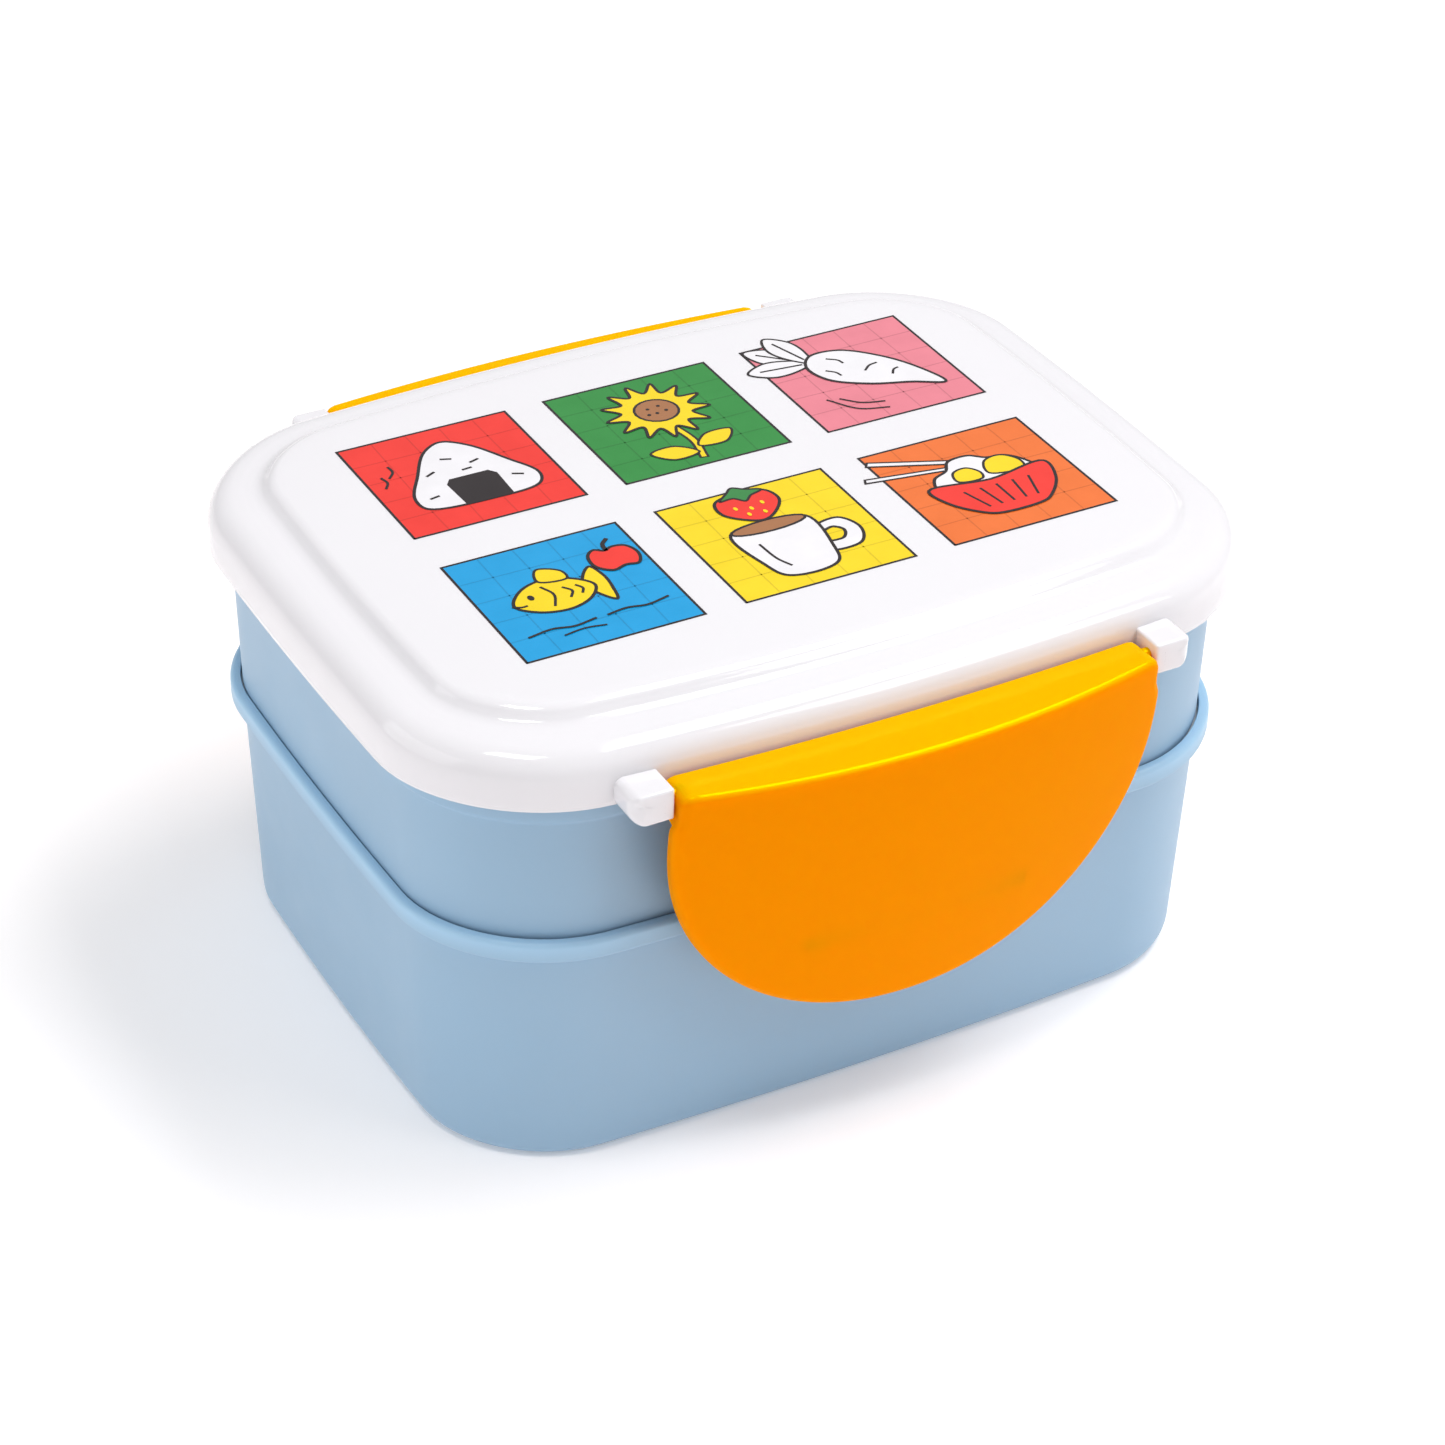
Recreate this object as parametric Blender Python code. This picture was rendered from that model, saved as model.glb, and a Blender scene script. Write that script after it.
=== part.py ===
"""Two-tier bento lunch box: printed lid, two snap clasps, two stacked tiers.

Metres, +Z up.  The origin is the centre of the base on the surface it stands on.
+X runs along the long side and -Y points to the front clasp.
"""
import math

import bmesh
import bpy
from mathutils import Vector

MM = 0.001
GAP = 0.3 * MM                      # air between touching pieces
TOUCH = 0.1 * MM                    # heights closer than this count as level

# Heights above the table
BASE_TOP = 2.0 * MM                 # inner floor of the lower tier
RIM_TOP = 50.0 * MM                 # top of the lower tier's rim
LEDGE_Z = 47.3 * MM                 # ledge inside the rim that carries the inner lid
INNER_LID_DEPTH = 4.3 * MM          # how far the inner lid's pan drops below its flange
LID_BOTTOM = 78.7 * MM              # lower edge of the lid's skirt
LID_TOP = 92.0 * MM                 # printed plateau of the lid

# Plan outlines: length, width, corner radius, and how far each side bows out
LID_OUTLINE = (170.0 * MM, 132.3 * MM, 29.0 * MM, 5.1 * MM, 1.6 * MM)
RIM_OUTLINE = (165.2 * MM, 126.4 * MM, 27.8 * MM, 2.8 * MM, 1.6 * MM)
UPPER_OUTLINE = (162.2 * MM, 123.4 * MM, 27.0 * MM, 2.8 * MM, 1.6 * MM)
CORNER_STEPS = 8
LONG_SIDE_STEPS = 6
SHORT_SIDE_STEPS = 4

# Walls
WALL = 2.0 * MM
INNER_LID_WALL = 1.0 * MM
SEAL_WIDTH = 3.8 * MM
SEAL_HEIGHT = 2.6 * MM
SEAL_INSET = 3.5 * MM               # lid outline to the seal's outer side
SEAL_BOTTOM = 84.3 * MM

# Clasps: a half-round flap, seen from the front, on a hinge at the lid's skirt
HINGE_Y = 68.4 * MM
HINGE_Z = 81.0 * MM
FLAP_TOP = 82.6 * MM
FLAP_NECK_HALF = 46.9 * MM          # half width between the lugs
FLAP_HALF = 47.9 * MM               # half width below the lugs
FLAP_SHOULDER_Z = 77.1 * MM
FLAP_WIDEST_Z = 72.0 * MM
FLAP_SHOULDER_DROP = 2.0 * MM       # height over which the neck widens to the flap
FLAP_SHOULDER_SHARE = 0.6           # how much of that widening comes first
FLAP_FULLNESS = 2.1                 # exponent of the round tip; 2 is an ellipse
FLAP_BOTTOM = 25.6 * MM
FLAP_CORNER = 2.4 * MM
FLAP_CORNER_LEAST = 0.4 * MM
FLAP_END_RISE = 0.4 * MM            # the front of the top edge rises by this at its ends
FLAP_MIDDLE_SAG = 1.2 * MM          # and its middle hangs below the ends by this
FLAP_FACE_Y = 77.7 * MM             # bulge of the face at the middle of its top edge
FLAP_FACE_LEAN = 6.5 * MM           # the face leans in by this towards its tip
FLAP_LEAN_POWER = 1.25              # 1 is a straight lean; more keeps the top upright
FLAP_FACE_CURVE = 4.4 * MM          # the face falls back by this towards its ends
FLAP_TIP_CURVE = 5.3 * MM           # and by this where it is level with the tip
FLAP_BACK_Y = 66.75 * MM            # back of the neck, just clear of the lid's skirt
FLAP_EDGE = 2.8 * MM                # depth of the edge below the neck
FLAP_WALL = 1.8 * MM
TOP_STEPS = 10
TIP_STEPS = 12
FLAP_ROUND = 1.3 * MM
FLAP_ROUND_SHARE = 0.3              # where the middle of that rounding lies
FLAP_BACK_ROUND = 1.0 * MM
FLAP_CENTRE_Z = 60.1 * MM           # the face's inner rings shrink towards this height
FLAP_INNER_SHARES = (0.35, 0.7)     # size of those rings
PIN_RADIUS = 1.25 * MM
PIN_END = 51.0 * MM
PIN_ROOT = 43.5 * MM
CATCH_HALF = 22.0 * MM
CATCH_Z = 44.2 * MM
CATCH_HEIGHT = 1.8 * MM
CATCH_TIP_Y = 64.0 * MM
CATCH_ROOT_Y = 72.2 * MM

# Lugs moulded on the lid, one at each end of each clasp
LUG_INNER = 47.2 * MM
LUG_OUTER = 55.0 * MM
LUG_FRONT = 70.9 * MM
LUG_BACK = 63.2 * MM
LUG_BOTTOM = 77.9 * MM
LUG_TOP = 84.0 * MM
LUG_BEVEL = 1.1 * MM
BORE_RADIUS = PIN_RADIUS + GAP
BORE_DEPTH = 4.6 * MM

# Dividers that stand across the tiers
DIVIDER_WALL = 1.6 * MM
FOOT_WIDTH = 7.0 * MM
FOOT_HEIGHT = 1.2 * MM
UPPER_DIVIDER_X = 22.0 * MM
LOWER_DIVIDER_X = -16.0 * MM

PARTS = "bento_lunch_box"
CUTTERS = "cutters"


def clear_scene():
    for item in list(bpy.data.objects):
        bpy.data.objects.remove(item, do_unlink=True)
    for name in (PARTS, CUTTERS):
        group = bpy.data.collections.new(name)
        bpy.context.scene.collection.children.link(group)


def material(name, colour, roughness, metallic=0.0):
    mat = bpy.data.materials.new(name)
    mat.use_nodes = True
    shader = mat.node_tree.nodes["Principled BSDF"]
    shader.inputs["Base Color"].default_value = (*colour, 1.0)
    shader.inputs["Roughness"].default_value = roughness
    shader.inputs["Metallic"].default_value = metallic
    return mat


def white_gloss():
    return material("white_gloss", (0.90, 0.89, 0.93), 0.18)


def pale_blue():
    return material("pale_blue", (0.36, 0.53, 0.66), 0.45)


def clasp_orange():
    return material("clasp_orange", (0.95, 0.33, 0.01), 0.22)


def clear_silicone():
    return material("clear_silicone", (0.80, 0.82, 0.82), 0.55)


def milky_plastic():
    return material("milky_plastic", (0.82, 0.86, 0.88), 0.35)


def place(mesh, name, look, group=PARTS):
    obj = bpy.data.objects.new(name, mesh)
    bpy.data.collections[group].objects.link(obj)
    if look:
        mesh.materials.append(look)
    return obj


def smooth(mesh, degrees=35.0):
    mesh.shade_smooth()
    mesh.set_sharp_from_angle(angle=math.radians(degrees))


def inset(outline, amount):
    """The same outline, drawn in all round."""
    length, width, corner, bow_long, bow_short = outline
    return (length - 2 * amount, width - 2 * amount, corner - amount, bow_long, bow_short)


def straight_steps(start, end, steps):
    return [start.lerp(end, i / steps) for i in range(1, steps)]


def outline_points(outline):
    """A rounded rectangle with its sides bowed outwards, counter-clockwise."""
    length, width, corner = outline[:3]
    points = []
    for quarter in range(4):
        side_x = 1 if quarter in (0, 3) else -1
        side_y = 1 if quarter < 2 else -1
        centre = Vector((side_x * (length / 2 - corner), side_y * (width / 2 - corner)))
        for step in range(CORNER_STEPS + 1):
            angle = math.radians(90 * (quarter + step / CORNER_STEPS))
            points.append(centre + corner * Vector((math.cos(angle), math.sin(angle))))
    ring = []
    for index, point in enumerate(points):
        ring.append(point)
        if (index + 1) % (CORNER_STEPS + 1) == 0:
            along_x = ((index + 1) // (CORNER_STEPS + 1)) % 2 == 1
            steps = LONG_SIDE_STEPS if along_x else SHORT_SIDE_STEPS
            ring += straight_steps(point, points[(index + 1) % len(points)], steps)
    return [bowed(point, outline) for point in ring]


def bowed(point, outline):
    length, width, _, bow_long, bow_short = outline
    along = 2 * point.x / length
    across = 2 * point.y / width
    x = point.x * (1 - 2 * bow_short / length * across ** 2)
    y = point.y * (1 - 2 * bow_long / width * along ** 2)
    return Vector((x, y))


def loft(name, rings, closed=False):
    """Skin a list of equal-length rings; the first and last are capped unless closed."""
    mesh = bpy.data.meshes.new(name)
    bm = bmesh.new()
    loops = [[bm.verts.new(point) for point in ring] for ring in rings]
    pairs = list(zip(loops, loops[1:]))
    if closed:
        pairs.append((loops[-1], loops[0]))
    else:
        bm.faces.new(loops[0][::-1])
        bm.faces.new(loops[-1])
    for lower, upper in pairs:
        for i in range(len(lower)):
            j = (i + 1) % len(lower)
            bm.faces.new((lower[i], lower[j], upper[j], upper[i]))
    bmesh.ops.recalc_face_normals(bm, faces=bm.faces)
    bm.to_mesh(mesh)
    bm.free()
    return mesh


def shell_rings(outline, profile):
    """Rings of an outline at each (inset, height) of a wall's profile."""
    rings = []
    for amount, height in profile:
        points = outline_points(inset(outline, amount))
        rings.append([Vector((point.x, point.y, height)) for point in points])
    return rings


def box(name, low, high, bevel=0.0):
    """An axis-aligned block between two corners, with rounded edges if asked."""
    mesh = bpy.data.meshes.new(name)
    bm = bmesh.new()
    bmesh.ops.create_cube(bm, size=1.0)
    size = Vector(high) - Vector(low)
    bmesh.ops.scale(bm, vec=size, verts=bm.verts)
    bmesh.ops.translate(bm, vec=(Vector(low) + Vector(high)) / 2, verts=bm.verts)
    if bevel:
        edges = list(bm.edges)
        bmesh.ops.bevel(bm, geom=edges, offset=bevel, segments=2, profile=0.5, affect="EDGES")
    bm.to_mesh(mesh)
    bm.free()
    return mesh


def rod_along_x(name, start_x, end_x, y, z, radius):
    mesh = bpy.data.meshes.new(name)
    bm = bmesh.new()
    length = abs(end_x - start_x)
    bmesh.ops.create_cone(bm, cap_ends=True, segments=16, radius1=radius, radius2=radius,
                          depth=length)
    for vert in bm.verts:
        along = vert.co.z
        vert.co = Vector(((start_x + end_x) / 2 + along, y + vert.co.x, z + vert.co.y))
    bm.to_mesh(mesh)
    bm.free()
    return mesh


def combine(target, mesh, operation):
    """Boolean a helper body into the target; the helper stays hidden with the cutters."""
    helper = place(mesh, mesh.name, None, CUTTERS)
    helper.hide_render = True
    helper.display_type = "WIRE"
    boolean = target.modifiers.new(operation.lower(), "BOOLEAN")
    boolean.operation = operation
    boolean.solver = "EXACT"
    boolean.object = helper


def lower_tier(look):
    """Deep tub whose rim flares out to take the tier above."""
    profile = [
        (6.0 * MM, 0.0),
        (4.3 * MM, 0.9 * MM),
        (3.8 * MM, 2.8 * MM),
        (2.4 * MM, 45.4 * MM),
        (2.2 * MM, 45.8 * MM),
        (0.4 * MM, 46.1 * MM),
        (0.0, 46.9 * MM),
        (0.1 * MM, 48.4 * MM),
        (0.5 * MM, 49.5 * MM),
        (1.1 * MM, RIM_TOP),
        (1.5 * MM, 49.8 * MM),
        (1.6 * MM, LEDGE_Z),
        (4.3 * MM, LEDGE_Z),
        (4.5 * MM, LEDGE_Z - 0.4 * MM),
        (5.8 * MM, BASE_TOP + 3.0 * MM),
        (6.7 * MM, BASE_TOP + 0.9 * MM),
        (8.9 * MM, BASE_TOP),
    ]
    mesh = loft("lower_tier", shell_rings(RIM_OUTLINE, profile))
    smooth(mesh)
    return place(mesh, "lower_tier", look)


def inner_lid(look):
    """Thin dished lid of the lower tier; the upper tier nests in it."""
    flange_low = LEDGE_Z + GAP
    flange_top = flange_low + INNER_LID_WALL
    pan = flange_low - INNER_LID_DEPTH
    profile = [
        (8.1 * MM, pan),
        (5.6 * MM, pan + 0.6 * MM),
        (4.9 * MM, flange_low - 0.6 * MM),
        (4.9 * MM, flange_low),
        (1.9 * MM, flange_low),
        (1.9 * MM, flange_top),
        (5.8 * MM, flange_top),
        (6.0 * MM, flange_top - 0.4 * MM),
        (6.6 * MM, pan + INNER_LID_WALL + 0.6 * MM),
        (8.5 * MM, pan + INNER_LID_WALL),
    ]
    mesh = loft("inner_lid", shell_rings(RIM_OUTLINE, profile))
    smooth(mesh)
    return place(mesh, "inner_lid", look)


def upper_tier(look):
    """Shallower tub; its base steps in and drops into the rim below."""
    shoulder = LEDGE_Z + 2 * GAP + INNER_LID_WALL
    bottom = LEDGE_Z + 2 * GAP + INNER_LID_WALL - INNER_LID_DEPTH
    floor = bottom + WALL
    profile = [
        (7.5 * MM, bottom),
        (5.7 * MM, bottom + 0.7 * MM),
        (4.9 * MM, shoulder - 0.4 * MM),
        (4.7 * MM, shoulder),
        (0.7 * MM, shoulder),
        (0.5 * MM, shoulder + 0.3 * MM),
        (0.1 * MM, 73.6 * MM),
        (-0.3 * MM, 74.2 * MM),
        (-0.9 * MM, 74.9 * MM),
        (-0.9 * MM, LID_BOTTOM - 0.4 * MM),
        (0.0, LID_BOTTOM - 0.3 * MM),
        (0.0, 83.3 * MM),
        (0.6 * MM, 84.0 * MM),
        (1.4 * MM, 84.0 * MM),
        (2.0 * MM, 83.3 * MM),
        (2.2 * MM, 56.0 * MM),
        (3.0 * MM, 52.0 * MM),
        (6.2 * MM, 49.6 * MM),
        (7.0 * MM, floor + 0.9 * MM),
        (9.0 * MM, floor),
    ]
    mesh = loft("upper_tier", shell_rings(UPPER_OUTLINE, profile))
    smooth(mesh)
    return place(mesh, "upper_tier", look)


def lid_profile():
    """From the plateau down the outer side, then up the inner side to the ceiling."""
    outer = [
        (13.0 * MM, LID_TOP),
        (12.0 * MM, 91.8 * MM),
        (10.9 * MM, 90.9 * MM),
        (9.8 * MM, 89.7 * MM),
        (8.6 * MM, 89.3 * MM),
        (6.4 * MM, 89.1 * MM),
        (3.7 * MM, 88.75 * MM),
        (2.4 * MM, 88.05 * MM),
        (1.4 * MM, 87.1 * MM),
        (0.6 * MM, 85.8 * MM),
        (0.2 * MM, 84.5 * MM),
        (0.0, 82.8 * MM),
        (0.0, 79.6 * MM),
        (0.4 * MM, LID_BOTTOM),
    ]
    inner = [
        (1.9 * MM, LID_BOTTOM),
        (2.0 * MM, 79.3 * MM),
        (2.1 * MM, 82.4 * MM),
        (SEAL_INSET - GAP, 83.6 * MM),
        (SEAL_INSET - GAP, SEAL_BOTTOM + SEAL_HEIGHT + GAP),
        (SEAL_INSET + SEAL_WIDTH + GAP, SEAL_BOTTOM + SEAL_HEIGHT + GAP),
        (SEAL_INSET + SEAL_WIDTH + GAP, 82.2 * MM),
        (9.1 * MM, 82.2 * MM),
        (9.2 * MM, 87.0 * MM),
        (11.6 * MM, 88.0 * MM),
        (14.0 * MM, LID_TOP - 1.9 * MM),
    ]
    return outer + inner


def lug_box(name, side_x, side_y):
    xs = sorted((side_x * LUG_INNER, side_x * LUG_OUTER))
    ys = sorted((side_y * LUG_BACK, side_y * LUG_FRONT))
    return box(name, (xs[0], ys[0], LUG_BOTTOM), (xs[1], ys[1], LUG_TOP), LUG_BEVEL)


def lid_shell(look):
    """Lid moulding with its four hinge lugs, each with a blind bore for a clasp's pin."""
    mesh = loft("lid_shell", shell_rings(LID_OUTLINE, lid_profile()))
    lid = place(mesh, "lid_shell", look)
    corners = [(x, y) for y in (-1, 1) for x in (-1, 1)]
    for number, (side_x, side_y) in enumerate(corners):
        combine(lid, lug_box(f"lug_{number}", side_x, side_y), "UNION")
    for number, (side_x, side_y) in enumerate(corners):
        bore = rod_along_x(f"bore_{number}", side_x * (LUG_INNER - MM),
                           side_x * (LUG_INNER + BORE_DEPTH), side_y * HINGE_Y, HINGE_Z,
                           BORE_RADIUS)
        combine(lid, bore, "DIFFERENCE")
    smooth(mesh)
    return lid


def lid_seal(look):
    """Silicone ring in the lid's groove, over the upper tier's rim."""
    top = SEAL_BOTTOM + SEAL_HEIGHT
    side = SEAL_INSET + SEAL_WIDTH
    cut = 0.5 * MM
    profile = [
        (SEAL_INSET + cut, SEAL_BOTTOM),
        (SEAL_INSET, SEAL_BOTTOM + cut),
        (SEAL_INSET, top - cut),
        (SEAL_INSET + cut, top),
        (side - cut, top),
        (side, top - cut),
        (side, SEAL_BOTTOM + cut),
        (side - cut, SEAL_BOTTOM),
    ]
    mesh = loft("lid_seal", shell_rings(LID_OUTLINE, profile), closed=True)
    smooth(mesh)
    return place(mesh, "lid_seal", look)


def flap_outline(amount):
    """Half-round flap seen from the front: flat top, neck between the lugs, round tip."""
    neck = FLAP_NECK_HALF - amount
    half = FLAP_HALF - amount
    top = FLAP_TOP - amount
    corner = max(FLAP_CORNER - amount, FLAP_CORNER_LEAST)
    shoulder = FLAP_SHOULDER_Z - amount
    right = []
    for step in range(CORNER_STEPS // 2):
        angle = math.radians(90 * (1 - step / (CORNER_STEPS // 2)))
        right.append((neck - corner + corner * math.cos(angle),
                      top - corner + corner * math.sin(angle)))
    right.append((neck, shoulder))
    widened = neck + (half - neck) * FLAP_SHOULDER_SHARE
    right.append((widened, shoulder - FLAP_SHOULDER_DROP))
    depth = FLAP_WIDEST_Z - (FLAP_BOTTOM + amount)
    for step in range(TIP_STEPS):
        angle = math.radians(90 * step / TIP_STEPS)
        across = math.cos(angle) ** (2 / FLAP_FULLNESS)
        down = math.sin(angle) ** (2 / FLAP_FULLNESS)
        right.append((half * across, FLAP_WIDEST_Z - depth * down))
    left = [(-x, z) for x, z in reversed(right)]
    tip = [(0.0, FLAP_BOTTOM + amount)]
    end = neck - corner
    brow = [(end * (step / TOP_STEPS * 2 - 1), top) for step in range(1, TOP_STEPS)]
    return right + tip + left + brow


def flap_front(x, z):
    drop = max(FLAP_TOP - z, 0.0) / (FLAP_TOP - FLAP_BOTTOM)
    lean = FLAP_FACE_LEAN * drop ** FLAP_LEAN_POWER
    curve = FLAP_FACE_CURVE + (FLAP_TIP_CURVE - FLAP_FACE_CURVE) * drop
    return -FLAP_FACE_Y + lean + curve * (x / FLAP_NECK_HALF) ** 2


def flap_back(x, z):
    """The neck reaches back to the lid's bowed skirt; the rest is a plate's thickness."""
    if z < FLAP_SHOULDER_Z - TOUCH:
        return flap_front(x, z) + FLAP_EDGE
    length, _, _, bow_long, _ = LID_OUTLINE
    return -FLAP_BACK_Y + bow_long * (2 * x / length) ** 2


def brow_height(x, z):
    """Height of a point on the face once the top edge's sag is added."""
    share = max(z - FLAP_SHOULDER_Z, 0.0) / (FLAP_TOP - FLAP_SHOULDER_Z)
    sag = FLAP_MIDDLE_SAG * (1 - (x / FLAP_NECK_HALF) ** 2)
    return z + share * (FLAP_END_RISE - sag)


def face_ring(amount, behind, share=1.0):
    """The outline drawn in by an amount, a distance behind the face; share shrinks it."""
    ring = []
    for x, z in flap_outline(amount):
        x = x * share
        z = FLAP_CENTRE_Z + (z - FLAP_CENTRE_Z) * share
        ring.append(Vector((x, flap_front(x, z) + behind, brow_height(x, z))))
    return ring


def back_ring(amount, behind):
    return [Vector((x, flap_back(x, z) + behind, z)) for x, z in flap_outline(amount)]


def flap_mesh(name):
    near_middle, half_way = FLAP_INNER_SHARES
    soft = FLAP_ROUND * FLAP_ROUND_SHARE
    back_soft = FLAP_BACK_ROUND * FLAP_ROUND_SHARE
    rings = [
        face_ring(FLAP_ROUND, 0.0, near_middle),
        face_ring(FLAP_ROUND, 0.0, half_way),
        face_ring(FLAP_ROUND, 0.0),
        face_ring(soft, soft),
        face_ring(0.0, FLAP_ROUND),
        back_ring(0.0, -FLAP_BACK_ROUND),
        back_ring(back_soft, -back_soft),
        back_ring(FLAP_BACK_ROUND, 0.0),
        back_ring(FLAP_WALL, 0.0),
        face_ring(FLAP_WALL, FLAP_WALL),
        face_ring(FLAP_WALL, FLAP_WALL, half_way),
        face_ring(FLAP_WALL, FLAP_WALL, near_middle),
    ]
    return loft(name, rings)


def catch_box(name):
    """Rib across the back of the flap that snaps below the lower tier's rim."""
    low = (-CATCH_HALF, -CATCH_ROOT_Y, CATCH_Z - CATCH_HEIGHT / 2)
    high = (CATCH_HALF, -CATCH_TIP_Y, CATCH_Z + CATCH_HEIGHT / 2)
    return box(name, low, high)


def turned_round(mesh):
    """Turn a mesh half a turn about Z, from the front side to the rear side."""
    for vert in mesh.vertices:
        vert.co = Vector((-vert.co.x, -vert.co.y, vert.co.z))
    return mesh


def clasp(name, side_y, look):
    """Hollow flap with two stub pins and a catch rib; its origin is on the hinge axis."""
    pieces = [(flap_mesh(name), None), (catch_box(f"{name}_catch"), "UNION")]
    for side_x in (-1, 1):
        pin = rod_along_x(f"{name}_pin_{side_x + 1}", side_x * PIN_ROOT, side_x * PIN_END,
                          -HINGE_Y, HINGE_Z, PIN_RADIUS)
        pieces.append((pin, "UNION"))
    hinge = Vector((0.0, side_y * HINGE_Y, HINGE_Z))
    flap = None
    for mesh, operation in pieces:
        if side_y > 0:
            turned_round(mesh)
        if operation:
            combine(flap, mesh, operation)
        else:
            for vert in mesh.vertices:
                vert.co -= hinge
            smooth(mesh)
            flap = place(mesh, name, look)
            flap.location = hinge
    return flap


def divider(name, x, profile, look):
    """Cross wall on a flat foot: (half thickness, height, half length) from foot to top."""
    side = profile + [(-across, height, reach) for across, height, reach in reversed(profile)]
    rings = []
    for end in (-1, 1):
        rings.append([Vector((x + across, end * reach, height)) for across, height, reach in side])
    return place(loft(name, rings), name, look)


def foot_profile(low, reach):
    """Foot of a divider, tapering into its wall."""
    return [
        (FOOT_WIDTH / 2, low, reach),
        (FOOT_WIDTH / 2, low + 0.7 * MM, reach),
        (DIVIDER_WALL / 2 + 0.4 * MM, low + FOOT_HEIGHT, reach),
        (DIVIDER_WALL / 2, low + 2.0 * MM, reach),
    ]


def top_profile(top, reach):
    """Rounded upper edge of a divider."""
    return [
        (DIVIDER_WALL / 2, top - 0.6 * MM, reach),
        (DIVIDER_WALL / 4, top, reach),
    ]


def lower_tier_divider(look):
    profile = foot_profile(BASE_TOP + GAP, 54.0 * MM) + top_profile(41.5 * MM, 57.5 * MM)
    return divider("lower_tier_divider", LOWER_DIVIDER_X, profile, look)


def upper_tier_divider(look):
    """Its wall steps out above the base of the tier, where the tier widens."""
    floor = LEDGE_Z + 2 * GAP + INNER_LID_WALL - INNER_LID_DEPTH + WALL
    step = [(DIVIDER_WALL / 2, 50.0 * MM, 53.6 * MM), (DIVIDER_WALL / 2, 53.4 * MM, 58.0 * MM)]
    profile = foot_profile(floor + GAP, 52.4 * MM) + step + top_profile(75.0 * MM, 58.6 * MM)
    return divider("upper_tier_divider", UPPER_DIVIDER_X, profile, look)


def build():
    clear_scene()
    white = white_gloss()
    blue = pale_blue()
    orange = clasp_orange()
    milky = milky_plastic()
    lower_tier(blue)
    inner_lid(milky)
    upper_tier(blue)
    lid_shell(white)
    lid_seal(clear_silicone())
    clasp("front_clasp", -1, orange)
    clasp("rear_clasp", 1, orange)
    lower_tier_divider(milky)
    upper_tier_divider(milky)


build()
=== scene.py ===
"""Looks for the two-tier bento lunch box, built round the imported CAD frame.

Metres, +Z up.  The origin is the centre of the base and -Y faces the front clasp.
Profiles are lists of (distance in from the outline, height, corner radius) in millimetres;
the lid's plateau and crown leave the radius out, because their points are joined as drawn.
"""
import math

import bmesh
import bpy
from mathutils import Euler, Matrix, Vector


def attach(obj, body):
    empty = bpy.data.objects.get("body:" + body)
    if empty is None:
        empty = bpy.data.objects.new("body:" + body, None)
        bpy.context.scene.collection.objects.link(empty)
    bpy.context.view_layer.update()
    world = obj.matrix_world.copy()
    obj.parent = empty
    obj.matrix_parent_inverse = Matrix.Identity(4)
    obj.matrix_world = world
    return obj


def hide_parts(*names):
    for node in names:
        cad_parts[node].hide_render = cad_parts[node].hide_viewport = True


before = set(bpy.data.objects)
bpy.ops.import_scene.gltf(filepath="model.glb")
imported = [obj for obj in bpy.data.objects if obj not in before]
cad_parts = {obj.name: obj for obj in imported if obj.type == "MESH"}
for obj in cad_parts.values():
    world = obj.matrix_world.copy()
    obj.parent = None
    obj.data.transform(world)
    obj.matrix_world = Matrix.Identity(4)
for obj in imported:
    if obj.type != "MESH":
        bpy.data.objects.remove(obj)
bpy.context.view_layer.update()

MM = 0.001

# Camera at the photograph's angle
CAMERA_AT = (-0.29165, -0.52259, 0.44339)
CAMERA_TURN = (56.012, -1.026, -28.558)
CAMERA_LENS = 95.74
SENSOR_WIDTH = 36.0
CLIP_START = 0.01

# Plan outlines in millimetres: length, width, corner radius, bow of long and short sides
LID = (170.0, 132.3, 29.0, 5.1, 1.6)
RIM = (165.2, 126.4, 27.8, 2.8, 1.6)
UPPER = (162.2, 123.4, 27.0, 2.8, 1.6)
CORNER_STEPS = 20
LONG_STEPS = 18
SHORT_STEPS = 12

# Heights and places in millimetres
LID_TOP = 92.0
LOWER_DIVIDER_X = -16.0
UPPER_DIVIDER_X = 22.0

# Clasp in millimetres
HINGE_Y = 68.4
HINGE_Z = 81.0
NECK_HALF = 46.9
FLAP_HALF = 47.9
SHOULDER_Z = 77.1
WIDEST_Z = 72.0
FULLNESS = 2.1
FLAP_TOP = 82.6
FLAP_BOTTOM = 25.6
FLAP_CORNER = 2.4
FLAP_CENTRE_Z = 58.0
END_RISE = 0.4
MIDDLE_SAG = 1.2
FACE_Y = 77.7
FACE_LEAN = 6.5
LEAN_POWER = 1.25
FACE_CURVE = 4.4
TIP_CURVE = 5.3
NECK_BACK_Y = 66.75
EDGE_DEPTH = 2.8
FLAP_WALL = 1.8
FRONT_ROUND = 1.5
BACK_ROUND = 0.5
PIN_RADIUS = 1.25
PIN_INNER = 43.5
PIN_OUTER = 51.0
CATCH_HALF = 22.0
CATCH_CHAMFER = 0.3
CATCH_ROOT_Y = 72.2

# Lug in millimetres
LUG_INNER = 47.2
LUG_OUTER = 55.0
LUG_FRONT = 70.9
LUG_BACK = 63.2
LUG_BOTTOM = 77.9
LUG_TOP = 84.0

# Print on the lid, in millimetres
SQUARE = 33.9
GAP_X = 8.0
GAP_Y = 10.9
PRINT_CENTRE = (1.3, 2.0)
PRINT_LIFT = 0.02
LAYER_STEP = 0.01

# Set: half the floor's side and its drop in metres, and the glow that whitens the paper
FLOOR_HALF = 6.0
FLOOR_DROP = 0.0001
FLOOR_GLOW = 0.17
HORIZON_STRENGTH = 0.50
OVERHEAD_STRENGTH = 0.36
AIM_HEIGHT = 0.05

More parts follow.
